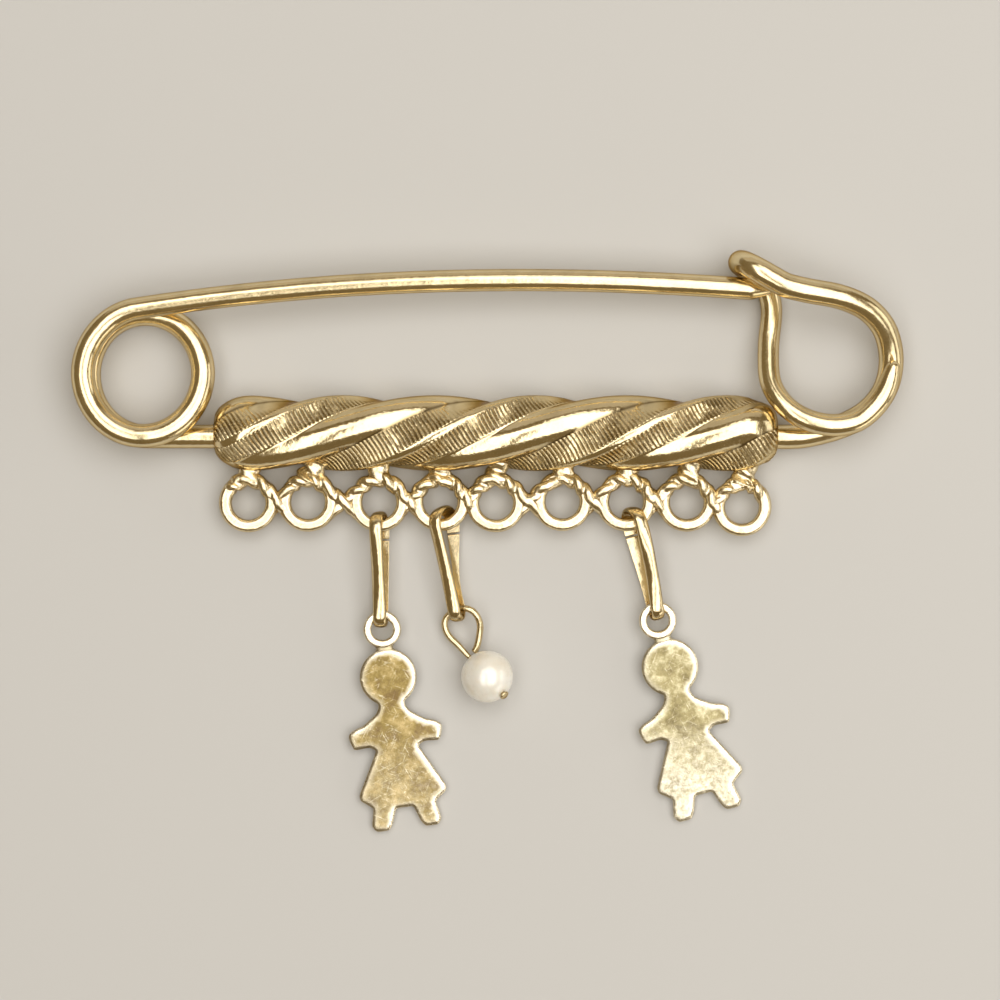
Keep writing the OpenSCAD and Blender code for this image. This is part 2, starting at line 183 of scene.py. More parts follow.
# Each charm: CAD node, ring's middle and lean
GIRLS = [("girl_left", (-8.19, -6.6), 7.2), ("girl_right", (12.93, -5.93), 15)]

# Pearl drop
PEARL_R = 2.0
PEARL_AT = (-0.15, -10.17, 2.02)
PEARL_HEADING = math.radians(-46)
PEARL_TIP_UP = math.radians(28)
PEARL_WIRE_R = 0.25
PEARL_DIMPLE = 0.06
# The wire through the pearl: distance from its middle and radius, first the head that stops it
PEARL_HEAD_ROWS = 5
PEARL_STEM = [
    (2.27, 0.02), (2.26, 0.28), (2.2, 0.36), (2.1, 0.36), (2.06, 0.19), (1, 0.19), (0, 0.19),
    (-1, 0.19), (-2.05, 0.19), (-2.3, 0.19),
]
# The wire's loop above the pearl: x, y and z
PEARL_LOOP = [
    (-2.35, -7.85, 0.84), (-3.1, -7.1, 0.8), (-3.42, -6.3, 0.76), (-3.25, -5.68, 0.82),
    (-2.68, -5.2, 1.05), (-1.98, -4.98, 1.4), (-1.35, -5.12, 1.55), (-0.9, -5.6, 1.5),
    (-0.68, -6.3, 1.3), (-0.76, -7.2, 1.1), (-0.95, -8.0, 1.0), (-1.18, -8.4, 0.97),
]


# Paths


def smooth_curve(rows, steps):
    """A table of points made into a smooth curve with that many steps between its rows."""
    rows = np.array(rows, float)
    last = len(rows) - 1
    t = np.linspace(0, 1, steps, endpoint=False)[:, None]
    spans = []
    for i in range(last):
        a, b, c, d = rows[max(i - 1, 0)], rows[i], rows[i + 1], rows[min(i + 2, last)]
        spans.append(
            0.5 * (2 * b + (c - a) * t + (2 * a - 5 * b + 4 * c - d) * t**2 + (3 * b - a - 3 * c + d) * t**3)
        )
    return np.vstack(spans + [rows[-1:]])


def run_along(path):
    """The distance of each row of a path from its start."""
    return np.r_[0, np.cumsum(np.linalg.norm(np.diff(path[:, :3], axis=0), axis=1))]


def even_steps(path, step):
    """The same path with its rows the same distance apart."""
    path = np.array(path, float)
    run = run_along(path)
    count = max(int(run[-1] / step), 2)
    places = np.linspace(0, run[-1], count + 1)
    return np.column_stack([np.interp(places, run, path[:, k]) for k in range(path.shape[1])])


def even_flat(path, step):
    """A path of x and y rows with its rows the same distance apart."""
    return even_steps(np.column_stack([path, np.zeros(len(path))]), step)[:, :2]


def worn_round(ring, passes):
    """A closed flat outline with its corners worn round."""
    for _ in range(passes):
        ring = 0.25 * np.roll(ring, 1, 0) + 0.5 * ring + 0.25 * np.roll(ring, -1, 0)
    return ring


def relaxed(path, passes):
    """The path with its small kinks eased; its ends stay."""
    path = path.copy()
    for _ in range(passes):
        path[1:-1] = 0.25 * path[:-2] + 0.5 * path[1:-1] + 0.25 * path[2:]
    return path


def coil_point(angle):
    """A point of the coil with the wire's radius; the angle runs on over its turns."""
    grow = np.interp(angle, *zip(*COIL_GROWTH))
    return (
        COIL_MIDDLE[0] + grow * COIL_HALF_W * math.cos(math.radians(angle)),
        COIL_MIDDLE[1] + grow * COIL_HALF_H * math.sin(math.radians(angle)),
        np.interp(angle, *zip(*COIL_HEIGHTS)),
        WIRE_R,
    )


def frame_wire_path():
    """The one wire of the frame, from the arm's root round the coil, through the bar and round the clasp."""
    coil = [coil_point(a) for a in range(COIL_ARM_ANGLE, COIL_BACK_ANGLE, 3)]
    back = [
        (-24.6, CORE_Y, CORE_Z - 0.04, WIRE_R), (BAR_LEFT - 0.8, CORE_Y, CORE_Z, WIRE_R),
        (-10, CORE_Y, CORE_Z, WIRE_R), (0, CORE_Y, CORE_Z, WIRE_R), (10, CORE_Y, CORE_Z, WIRE_R),
        (BAR_LEFT + BAR_LENGTH - 0.3, CORE_Y, CORE_Z, WIRE_R),
    ]
    outer = [(*p, CLASP_R) for p in smooth_curve(CLASP_OUTER, 8)]
    hook = []
    for turn in range(90, -91, -5):
        a = math.radians(turn)
        reach = HOOK_BEND_R * math.cos(a)
        hook.append((
            HOOK_MIDDLE[0] + reach * math.cos(HOOK_HEADING),
            HOOK_MIDDLE[1] + reach * math.sin(HOOK_HEADING),
            HOOK_TOP_Z - HOOK_BEND_R * (1 - math.sin(a)),
            CLASP_R if turn > 0 else CLASP_R + (HOOK_END_R - CLASP_R) * -turn / 90,
        ))
    inner = smooth_curve(CLASP_INNER, 8)
    path = relaxed(even_steps(np.vstack([coil, back, outer, hook, inner]), WIRE_STEP), 14)
    # the wire is eased down to the arm's thickness by the arm's root, and its other end is rounded
    run = np.arange(len(path)) * WIRE_STEP
    path[:, 3] = np.minimum(path[:, 3], ARM_R + ROOT_SPARE + ROOT_EASE * run)
    return rounded_end(path, CLASP_NOSE)


def rounded_end(path, length):
    """Narrows a wire's last end to a round nose of the given length."""
    run = run_along(path)
    u = np.clip((run[-1] - run) / length, 0, 1)
    path[:, 3] *= np.sqrt(np.clip(1 - (1 - u) ** 2, 0.0009, 1))
    return path


def arm_path():
    """The bowed arm, from its rounded root to its point."""
    root = np.array(coil_point(COIL_ARM_ANGLE)[:2])
    bow, tip = np.array(ARM_BOW), np.array(ARM_TIP)
    rows = []
    for t in np.linspace(0, 1, 260):
        p = (1 - t) ** 2 * root + 2 * t * (1 - t) * bow + t * t * tip
        rows.append((*p, ARM_ROOT_Z + (ARM_TIP_Z - ARM_ROOT_Z) * t, ARM_R))
    path = even_steps(rows, WIRE_STEP)
    run = np.arange(len(path)) * np.linalg.norm(path[1, :3] - path[0, :3])
    left = run[-1] - run
    point = np.clip(left / ARM_POINT, 0, 1) ** ARM_POINT_POWER
    path[:, 3] = ARM_R * (ARM_POINT_SHARE + (1 - ARM_POINT_SHARE) * point)
    start = path[0, :3] - path[1, :3]
    start /= np.linalg.norm(start)
    nose = [(*(path[0, :3] + start * ARM_R * math.sin(a)), max(ARM_R * math.cos(a), 0.02))
            for a in np.linspace(math.pi / 2, 0.08, 14)]
    return np.vstack([nose, path])


# Meshes


def face_out(mesh):
    """Merges doubles and turns every face outwards."""
    made = bmesh.new()
    made.from_mesh(mesh)
    bmesh.ops.remove_doubles(made, verts=made.verts, dist=1e-7)
    bmesh.ops.recalc_face_normals(made, faces=made.faces)
    made.to_mesh(mesh)
    made.free()
    mesh.polygons.foreach_set("use_smooth", [len(face.vertices) < 8 for face in mesh.polygons])
    mesh.update()


def in_scene(name, data):
    """A new object in the scene that holds the given mesh, light or camera."""
    made = bpy.data.objects.new(name, data)
    bpy.context.scene.collection.objects.link(made)
    return made


def solid(name, points, faces, material, values=None):
    """A closed mesh object from points in millimetres, with named values kept on its points."""
    mesh = bpy.data.meshes.new(name)
    mesh.from_pydata((np.asarray(points) * MM).tolist(), [], [list(f) for f in faces])
    for key, numbers in (values or {}).items():
        mesh.attributes.new(key, "FLOAT", "POINT").data.foreach_set("value", np.asarray(numbers, np.float32))
    mesh.materials.append(material)
    mesh.update()
    face_out(mesh)
    return in_scene(name, mesh)


def skin(rows, sides, closed=False):
    """Faces over a grid of rows of points, with its two ends capped unless the rows close on themselves."""
    faces = []
    for i in range(rows if closed else rows - 1):
        p, q = i * sides, ((i + 1) % rows) * sides
        faces += [(p + k, q + k, q + (k + 1) % sides, p + (k + 1) % sides) for k in range(sides)]
    if not closed:
        faces.append(tuple(range(sides)))
        faces.append(tuple(range((rows - 1) * sides, rows * sides)))
    return faces


def carried_frames(middles):
    """Two directions across a path at each of its points, carried along it without twisting."""
    ahead = np.gradient(middles, axis=0)
    ahead /= np.linalg.norm(ahead, axis=1)[:, None]
    side = np.array((0, 0, 1), float)
    sides = np.zeros((len(middles), 3))
    for i in range(len(middles)):
        side = side - (side @ ahead[i]) * ahead[i]
        side /= np.linalg.norm(side)
        sides[i] = side
    return sides, np.cross(ahead, sides)


def node_group(name, inputs, output):
    """An empty geometry node group with named inputs, each with its kind, and one output."""
    tree = bpy.data.node_groups.new(name, "GeometryNodeTree")
    for title, kind in inputs.items():
        tree.interface.new_socket(title, in_out="INPUT", socket_type="NodeSocket" + kind)
    tree.interface.new_socket(output, in_out="OUTPUT", socket_type="NodeSocketGeometry")
    return tree


def wire_tree():
    """Geometry nodes that sweep a round wire along an edge path; its point value "gauge" is the radius."""
    tree = node_group("round wire", {"Path": "Geometry", "Sides": "Int", "Finish": "Material"}, "Wire")
    new, join = tree.nodes.new, tree.links.new
    given, made = new("NodeGroupInput"), new("NodeGroupOutput")
    to_curve = new("GeometryNodeMeshToCurve")
    ring = new("GeometryNodeCurvePrimitiveCircle")
    ring.inputs["Radius"].default_value = 1.0
    gauge = new("GeometryNodeInputNamedAttribute")
    gauge.data_type = "FLOAT"
    gauge.inputs["Name"].default_value = "gauge"
    sweep = new("GeometryNodeCurveToMesh")
    sweep.inputs["Fill Caps"].default_value = True
    real = new("GeometryNodeRealizeInstances")
    coat = new("GeometryNodeSetMaterial")
    join(given.outputs["Path"], to_curve.inputs["Mesh"])
    join(given.outputs["Sides"], ring.inputs["Resolution"])
    join(to_curve.outputs["Curve"], sweep.inputs["Curve"])
    join(ring.outputs["Curve"], sweep.inputs["Profile Curve"])
    join(gauge.outputs["Attribute"], sweep.inputs["Scale"])
    join(sweep.outputs["Mesh"], real.inputs["Geometry"])
    join(real.outputs["Geometry"], coat.inputs["Geometry"])
    join(given.outputs["Finish"], coat.inputs["Material"])
    join(coat.outputs["Geometry"], made.inputs["Wire"])
    return tree


def input_id(tree, name):
    """The identifier of a node group's input, which its modifier is set by."""
    return next(s.identifier for s in tree.interface.items_tree if s.name == name and s.in_out == "INPUT")


def grown(piece, tree, settings):
    """The piece with the plain mesh that a node group makes from its own, with the given inputs."""
    nodes = piece.modifiers.new(tree.name, "NODES")
    nodes.node_group = tree
    for title, value in settings.items():
        nodes[input_id(tree, title)] = value
    graph = bpy.context.evaluated_depsgraph_get()
    made = piece.evaluated_get(graph)
    mesh = bpy.data.meshes.new_from_object(made, preserve_all_data_layers=True, depsgraph=graph)
    piece.modifiers.clear()
    piece.data = mesh
    face_out(mesh)
    return piece


def round_wire(name, paths, material, sides=WIRE_SIDES):
    """Round wires along paths of x, y, z and radius rows, in millimetres."""
    points, edges, gauges = [], [], []
    for path in paths:
        start = len(points)
        points += (path[:, :3] * MM).tolist()
        gauges += (path[:, 3] * MM).tolist()
        edges += [(i, i + 1) for i in range(start, len(points) - 1)]
    mesh = bpy.data.meshes.new(name)
    mesh.from_pydata(points, edges, [])
    mesh.attributes.new("gauge", "FLOAT", "POINT").data.foreach_set("value", gauges)
    tree = bpy.data.node_groups.get("round wire") or wire_tree()
    return grown(in_scene(name, mesh), tree, {"Sides": sides, "Finish": material})


# Materials


def finish(name):
    """A new material with its shader and its object coordinates in millimetres."""
    material = bpy.data.materials.new(name)
    material.use_nodes = True
    tree = material.node_tree
    shader = tree.nodes["Principled BSDF"]
    place = tree.nodes.new("ShaderNodeTexCoord")
    size = tree.nodes.new("ShaderNodeMapping")
    size.inputs["Scale"].default_value = (1000, 1000, 1000)
    tree.links.new(place.outputs["Object"], size.inputs["Vector"])
    return material, tree, shader, size.outputs["Vector"]


def noise(tree, vector, scale, detail=3.0, rough=0.55, stretch=None):
    """Noise of a scale per millimetre; stretch is a turn and a size for each axis."""
    if stretch:
        lay = tree.nodes.new("ShaderNodeMapping")
        lay.vector_type = "TEXTURE"
        lay.inputs["Rotation"].default_value = stretch[0]
        lay.inputs["Scale"].default_value = stretch[1]
        tree.links.new(vector, lay.inputs["Vector"])
        vector = lay.outputs["Vector"]
    node = tree.nodes.new("ShaderNodeTexNoise")
    node.inputs["Scale"].default_value = scale
    node.inputs["Detail"].default_value = detail
    node.inputs["Roughness"].default_value = rough
    tree.links.new(vector, node.inputs["Vector"])
    return node.outputs["Fac"]


def ramp(tree, value, stops):
    """A value turned into a colour by stops of place and colour."""
    node = tree.nodes.new("ShaderNodeValToRGB")
    elements = node.color_ramp.elements
    for element, (position, colour) in ((elements[0], stops[0]), (elements[1], stops[-1])):
        element.position, element.color = position, (*colour, 1)
    for position, colour in stops[1:-1]:
        elements.new(position).color = (*colour, 1)
    tree.links.new(value, node.inputs["Fac"])
    return node.outputs["Color"]


def span(tree, value, low, high, out_low, out_high):
    """A value from low to high laid over another range."""
    node = tree.nodes.new("ShaderNodeMapRange")
    for key, number in (("From Min", low), ("From Max", high), ("To Min", out_low), ("To Max", out_high)):
        node.inputs[key].default_value = number
    tree.links.new(value, node.inputs["Value"])
    return node.outputs["Result"]


def maths(tree, kind, *values):
    """A sum of the given kind on sockets or numbers."""
    node = tree.nodes.new("ShaderNodeMath")
    node.operation = kind
    for k, value in enumerate(values):
        if isinstance(value, (int, float)):
            node.inputs[k].default_value = value
        else:
            tree.links.new(value, node.inputs[k])
    return node.outputs["Value"]


def blend_colours(tree, share, first, second):
    """The first colour with a share of the second laid over it."""
    node = tree.nodes.new("ShaderNodeMix")
    node.data_type = "RGBA"
    for key, value in (("Factor_Float", share), ("A_Color", first), ("B_Color", second)):
        socket = next(s for s in node.inputs if s.identifier == key)
        if isinstance(value, (int, float)):
            socket.default_value = value
        elif isinstance(value, tuple):
            socket.default_value = (*value, 1)
        else:
            tree.links.new(value, socket)
    return next(s for s in node.outputs if s.identifier == "Result_Color")


def raised(tree, shader, height, depth_mm, strength=1.0, under=None):
    """Relief of a depth in millimetres, laid over the relief that is under it."""
    node = tree.nodes.new("ShaderNodeBump")
    node.inputs["Strength"].default_value = strength
    node.inputs["Distance"].default_value = depth_mm * MM
    tree.links.new(height, node.inputs["Height"])
    if under is not None:
        tree.links.new(under, node.inputs["Normal"])
    tree.links.new(node.outputs["Normal"], shader.inputs["Normal"])
    return node.outputs["Normal"]


def carried_value(tree, name):
    """A value kept on the mesh's points."""
    node = tree.nodes.new("ShaderNodeAttribute")
    node.attribute_name = name
    return node.outputs["Fac"]


GOLD = (0.87, 0.73, 0.45)
EDGE_BROWN = (0.42, 0.29, 0.15)
# painted shade laid into the troughs of the bar's engraved lines
CUT_LINE_SHADE = (0.23, 0.135, 0.03)
# painted shade along the clefts where a smooth lobe meets an engraved face
CLEFT_SHADE_BROWN = (0.16, 0.10, 0.03)
WORN_PALE = (1.0, 0.95, 0.80)
SCRATCH_PALE = (0.97, 0.9, 0.68)
# the pale of a charm's polished rim, which also lays its painted highlight
RIM_PALE = (0.97, 0.90, 0.72)
# Where a charm's skirt begins and ends along the brooch's y
SKIRT = (-13.5, -18.5)


def metal(name):
    material, tree, shader, place = finish(name)
    shader.inputs["Metallic"].default_value = 1.0
    shader.inputs["Specular Tint"].default_value = (*EDGE_BROWN, 1)
    return material, tree, shader, place


def polished_gold(name, rough=0.17, ripple=0.012, tone=GOLD):
    """Pale gold plate, polished over wire or a casting: faint ripples, hairline wear and cloudy patches."""
    material, tree, shader, place = metal(name)
    cloud = noise(tree, place, 0.55, 4)
    fine = noise(tree, place, 6.0, 5, 0.7)
    deep = tuple(v * 0.86 for v in tone)
    pale = tuple(min(v * 1.06, 1) for v in tone)
    colour = ramp(tree, cloud, [(0.3, deep), (0.52, tone), (0.75, pale)])
    tree.links.new(colour, shader.inputs["Base Color"])
    tree.links.new(span(tree, fine, 0.3, 0.8, rough * 0.75, rough * 1.6), shader.inputs["Roughness"])
    soft = raised(tree, shader, noise(tree, place, 0.9, 2), ripple * 4, 0.5)
    raised(tree, shader, fine, ripple, 0.35, soft)
    return material


def engraved_gold(name):
    """The bar's finish: polished lobes, and fine lines cut across the ridged faces, with painted shade in the
    lines and along the clefts beside the lobes.
    """
    material, tree, shader, place = metal(name)
    cloud = noise(tree, place, 0.5, 4)
    fine = noise(tree, place, 5.0, 5, 0.7)
    tone = ramp(tree, cloud, [(0.3, tuple(v * 0.86 for v in GOLD)), (0.55, GOLD), (0.78, (0.90, 0.77, 0.52))])
    wander = maths(tree, "MULTIPLY", maths(tree, "SUBTRACT", noise(tree, place, 0.4, 2), 0.5), 0.14)
    run = maths(tree, "ADD", carried_value(tree, "rib_run"), wander)
    wave = maths(tree, "SINE", maths(tree, "MULTIPLY", run, 2 * math.pi / LINE_PITCH))
    worn = span(tree, noise(tree, place, 0.7, 3), 0.36, 0.54, 0.3, 1.0)
    engraved = carried_value(tree, "engraved")
    share = maths(tree, "MULTIPLY", engraved, worn)
    # painted shade in the troughs of the engraved lines
    painted_line_shade = maths(tree, "MULTIPLY", span(tree, wave, 0.15, 0.85, 0, 1), share)
    colour = blend_colours(tree, maths(tree, "MULTIPLY", painted_line_shade, 0.86), tone, CUT_LINE_SHADE)
    # painted shade along the clefts beside the smooth lobes
    colour = blend_colours(tree, carried_value(tree, "painted_cleft_shade"), colour, CLEFT_SHADE_BROWN)
    tree.links.new(colour, shader.inputs["Base Color"])
    base = span(tree, fine, 0.3, 0.8, 0.09, 0.24)
    rough = maths(tree, "ADD", base, maths(tree, "MULTIPLY", engraved, 0.12))
    tree.links.new(rough, shader.inputs["Roughness"])
    soft = raised(tree, shader, noise(tree, place, 1.0, 4), 0.09, 0.5)
    lines = maths(tree, "MULTIPLY", maths(tree, "SUBTRACT", 1.0, wave), maths(tree, "MULTIPLY", share, 0.5))
    raised(tree, shader, lines, 0.12, 1.0, soft)
    return material


def satin_gold(name, tone, deep, shine, skirt_shine):
    """A charm's face: dull and mottled, with fine scratches lying every way and a polished rim that carries a
    painted highlight.
    """
    material, tree, shader, place = metal(name)
    mottle = noise(tree, place, 0.75, 6, 0.68)
    speck = noise(tree, place, 2.6, 5, 0.75)
    marks = []
    for turn in (0.5, 1.2, 2.1, 2.8):
        lined = noise(tree, place, 1.0, 3, 0.6, ((0, 0, turn), (1.6, 0.16, 1.0)))
        marks.append(span(tree, lined, 0.60, 0.70, 0, 1))
    scratch = marks[0]
    for mark in marks[1:]:
        scratch = maths(tree, "MAXIMUM", scratch, mark)
    scratch = maths(tree, "MULTIPLY", scratch, span(tree, speck, 0.42, 0.62, 0, 1))
    colour = ramp(tree, mottle, [(0.34, deep), (0.5, tone), (0.66, shine)])
    along = tree.nodes.new("ShaderNodeSeparateXYZ")
    tree.links.new(place, along.inputs["Vector"])
    down_skirt = span(tree, along.outputs["Y"], *SKIRT, 0, skirt_shine)
    worn = maths(tree, "MULTIPLY", down_skirt, span(tree, speck, 0.4, 0.6, 0.3, 1))
    colour = blend_colours(tree, worn, colour, WORN_PALE)
    colour = blend_colours(tree, maths(tree, "MULTIPLY", scratch, 0.75), colour, SCRATCH_PALE)
    # the rim value lays the pale of the rim's polish together with a painted highlight on its side facing up
    # and right
    rim = carried_value(tree, "rim")
    colour = blend_colours(tree, rim, colour, RIM_PALE)
    tree.links.new(colour, shader.inputs["Base Color"])
    rough = span(tree, speck, 0.35, 0.7, 0.5, 0.3)
    rough = maths(tree, "SUBTRACT", rough, maths(tree, "MULTIPLY", rim, 0.2))
    tree.links.new(rough, shader.inputs["Roughness"])
    soft = raised(tree, shader, mottle, 0.08, 0.8)
    raised(tree, shader, scratch, 0.02, 0.6, soft)
    return material


def pearl_coat(name):
    """Ivory pearl: cloudy layers under a soft clear coat."""
    material, tree, shader, place = finish(name)
    cloud = noise(tree, place, 0.7, 4)
    grain = noise(tree, place, 3.2, 5, 0.7)
    ivory, cream, white = (0.88, 0.82, 0.69), (0.94, 0.91, 0.82), (0.97, 0.96, 0.90)
    colour = ramp(tree, cloud, [(0.3, ivory), (0.5, cream), (0.72, white)])
    tree.links.new(colour, shader.inputs["Base Color"])
    shader.inputs["Subsurface Weight"].default_value = 0.12
    shader.inputs["Subsurface Radius"].default_value = (0.8, 0.6, 0.45)
    shader.inputs["Subsurface Scale"].default_value = 0.0005
    shader.inputs["Coat Weight"].default_value = 1.0
    shader.inputs["Coat Roughness"].default_value = 0.3
    shader.inputs["Coat IOR"].default_value = 2.8
    tree.links.new(span(tree, grain, 0.3, 0.75, 0.22, 0.4), shader.inputs["Roughness"])
    raised(tree, shader, grain, 0.03, 0.4)
    return material


WIRE_GOLD = polished_gold("polished_wire")
STRIP_GOLD = polished_gold("polished_strip", 0.12, 0.03, (0.80, 0.67, 0.42))
RING_GOLD = polished_gold("cast_rings", 0.17, 0.05, (0.90, 0.78, 0.53))
BAR_GOLD = engraved_gold("engraved_bar")
LEFT_SATIN = satin_gold("satin_charm", (0.30, 0.225, 0.08), (0.20, 0.135, 0.06), (0.52, 0.40, 0.19), 0.15)
RIGHT_SATIN = satin_gold(
    "bright_satin_charm", (0.36, 0.31, 0.16), (0.22, 0.18, 0.09), (0.70, 0.64, 0.43), 0.7
)
PEARL = pearl_coat("pearl_coat")


# Wire and arm

frame_wire = round_wire("frame_wire_polished", [frame_wire_path()], WIRE_GOLD)
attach(frame_wire, "brooch")
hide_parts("frame_wire")

pin_arm = round_wire("pin_arm_polished", [arm_path()], WIRE_GOLD)
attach(pin_arm, "arm")
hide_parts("pin_arm")


# Twisted bar


def bar_section():
    """The bar's section, its edges a little worn: degrees from a smooth lobe's middle, and radius."""
    turn = math.radians(CLEFT_ANGLE)
    off = (CREST_R**2 - CLEFT_R**2) / 2 / (CREST_R - CLEFT_R * math.cos(turn))
    b = np.linspace(-turn, turn, 40)
    lobe_r = off * np.cos(b) + np.sqrt((CREST_R - off) ** 2 - (off * np.sin(b)) ** 2)
    lobe = np.column_stack([lobe_r * np.cos(b), lobe_r * np.sin(b)])
    flat = np.radians([RIDGE_AT - RIDGE_FLAT / 2, RIDGE_AT, RIDGE_AT + RIDGE_FLAT / 2])
    crest = np.column_stack([CREST_R * np.cos(flat), CREST_R * np.sin(flat)])
    half = np.vstack([lobe, crest])
    ring = worn_round(even_flat(np.vstack([half, -half, half[:1]]), 0.1)[:-1], 4)
    angle = np.degrees(np.arctan2(ring[:, 1], ring[:, 0]))
    wrapped = (angle + 90) % 180 - 90
    # a fine raised edge where the lower engraved face ends
    bead = BEAD * np.exp(-(((wrapped + CLEFT_ANGLE + 2) / 2.6) ** 2))
    return angle, np.linalg.norm(ring, axis=1) + bead


def twisted_bar():
    """The cast bar: two smooth lobes and two engraved ridges wound round it, with rounded ends."""
    u = np.linspace(0, 1, BAR_ROWS + 1)
    x = BAR_LEFT + BAR_LENGTH * (u - BAR_UNEVEN * np.sin(2 * math.pi * u) / 2)
    phase, radius = bar_section()
    X, P = np.meshgrid(x, phase, indexing="ij")
    near_end = np.minimum(X - BAR_LEFT, BAR_LEFT + BAR_LENGTH - X)
    u_end = 1 - np.minimum(near_end / BAR_END, 1)
    R = BAR_FADE_R + (radius[None, :] - BAR_FADE_R) * np.minimum(near_end / BAR_FADE, 1)
    R = R * (BAR_END_SCALE + (1 - BAR_END_SCALE) * np.sqrt(1 - u_end**2))
    # angle round the bar: 0 at the top edge, 90 at the front, and its jump at the flat back
    A = (P - 360 * (X - TWIST_START) / TWIST_PITCH + 90) % 360 - 90
    y = BAR_Y + R * np.cos(np.radians(A))
    z = np.maximum(BAR_Z + R * np.sin(np.radians(A)), 0.0)
    wrapped = (P + 90) % 180 - 90
    from_ridge = (P - RIDGE_AT + 90) % 180 - 90
    # the lines are cut square across the ridges
    slope = math.atan(2 * math.pi * RIDGE_R / TWIST_PITCH)
    run = X * math.cos(slope) - np.radians(A) * RIDGE_R * math.sin(slope)
    upper = from_ridge < 0
    cut = np.clip((np.abs(wrapped) - CLEFT_ANGLE - 1.5) / 2.0, 0, 1)
    cut *= np.clip((np.abs(from_ridge) - RIDGE_FLAT / 2 - 0.5) / 1.5, 0, 1)
    # the lines end before the bar's back
    cut *= np.where(upper, np.clip((A - 42) / 30, 0, 1), np.clip((A - 6) / 24, 0, 1))
    # painted shade along the cleft where a smooth lobe meets the upper engraved face
    cleft_shade = 0.8 * np.exp(-(((wrapped - CLEFT_ANGLE) / 3.0) ** 2))
    points = np.stack([X, y, z], -1).reshape(-1, 3)
    values = {"rib_run": run.ravel(), "engraved": cut.ravel(), "painted_cleft_shade": cleft_shade.ravel()}
    return solid("bar_engraved", points, skin(BAR_ROWS + 1, len(phase)), BAR_GOLD, values)


bar = twisted_bar()
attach(bar, "brooch")
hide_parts("charm_bar")


# Ring row


def ring_tree():
    """Geometry nodes that set one ring with a flattened, rounded section on each point of the row."""
    inputs = {"Places": "Geometry", "Ring radius": "Float", "Wall": "Float", "Finish": "Material"}
    tree = node_group("ring row", inputs, "Rings")
    new, join = tree.nodes.new, tree.links.new
    given, made = new("NodeGroupInput"), new("NodeGroupOutput")
    round_path, wall = new("GeometryNodeCurvePrimitiveCircle"), new("GeometryNodeCurvePrimitiveQuadrilateral")
    round_path.inputs["Resolution"].default_value = RING_STEPS
    eased = new("GeometryNodeFilletCurve")
    eased.mode = "POLY"
    eased.inputs["Count"].default_value = 7
    eased.inputs["Limit Radius"].default_value = True
    rounding = new("ShaderNodeMath")
    rounding.operation = "MULTIPLY"
    rounding.inputs[1].default_value = RING_CORNER
    sweep, on_points = new("GeometryNodeCurveToMesh"), new("GeometryNodeInstanceOnPoints")
    real, coat = new("GeometryNodeRealizeInstances"), new("GeometryNodeSetMaterial")
    join(given.outputs["Ring radius"], round_path.inputs["Radius"])
    join(given.outputs["Wall"], wall.inputs["Width"])
    join(given.outputs["Wall"], wall.inputs["Height"])
    join(given.outputs["Wall"], rounding.inputs[0])
    join(rounding.outputs["Value"], eased.inputs["Radius"])
    join(wall.outputs["Curve"], eased.inputs["Curve"])
    join(round_path.outputs["Curve"], sweep.inputs["Curve"])
    join(eased.outputs["Curve"], sweep.inputs["Profile Curve"])
    join(given.outputs["Places"], on_points.inputs["Points"])
    join(sweep.outputs["Mesh"], on_points.inputs["Instance"])
    join(on_points.outputs["Instances"], real.inputs["Geometry"])
    join(real.outputs["Geometry"], coat.inputs["Geometry"])
    join(given.outputs["Finish"], coat.inputs["Material"])
    join(coat.outputs["Geometry"], made.inputs["Rings"])
    return tree


def rings():
    """The nine plain rings."""
    mesh = bpy.data.meshes.new("rings")
    mesh.from_pydata([(x * MM, y * MM, RING_Z * MM) for x, y in RING_PLACES], [], [])
    settings = {"Ring radius": RING_MID_R * MM, "Wall": RING_WALL * MM, "Finish": RING_GOLD}
    return grown(in_scene("ring_row", mesh), ring_tree(), settings)


def crossing_angles(first, second):
    """Degrees of the line between two rings' middles, and from it to where a strand leaves a ring."""
    way = second - first
    leave = math.acos(min(2 * RING_MID_R / np.linalg.norm(way), 1))
    return math.degrees(math.atan2(way[1], way[0])), math.degrees(leave)


def strand_path(over_first):
    """One strand of the weave: over the top of one ring, across, and under the next; x, y, z and ropiness."""
    rows = []
    count = len(RING_PLACES)
    middles = np.array(RING_PLACES)
    for i in range(count):
        top = (i % 2 == 0) == over_first
        sign = 1 if top else -1
        start, end = 180.0, 0.0
        if i > 0:
            tilt, leave = crossing_angles(middles[i - 1], middles[i])
            start = 180 + tilt - sign * leave
        if i < count - 1:
            tilt, leave = crossing_angles(middles[i], middles[i + 1])
            end = tilt + sign * leave
        if not top:
            end += 360
        for a in np.radians(np.linspace(start, end, 40)):
            x = middles[i][0] + RING_MID_R * math.cos(a)
            y = middles[i][1] + RING_MID_R * math.sin(a)
            rows.append((x, y, RING_Z + (STRAND_OVER if top else -0.1), 1.0 if top else 0.0))
    path = relaxed(even_steps(rows, 0.07), 60)
    # the strands pass over each other midway between the rings
    for i in range(count - 1):
        mid = (middles[i] + middles[i + 1]) / 2
        near = np.exp(-(np.linalg.norm(path[:, :2] - mid, axis=1) / 0.8) ** 2)
        path[:, 2] += near * (STRAND_OVER if over_first == (i % 2 == 0) else -0.04)
    # both ends of a strand sink into their ring and turn plain
    run = run_along(path)
    to_end = np.minimum(run, run[-1] - run)
    path[:, 2] -= STRAND_SINK * np.exp(-((to_end / STRAND_SINK_RUN) ** 2))
    path[:, 3] *= np.clip(to_end / STRAND_PLAIN_RUN, 0, 1)
    return path


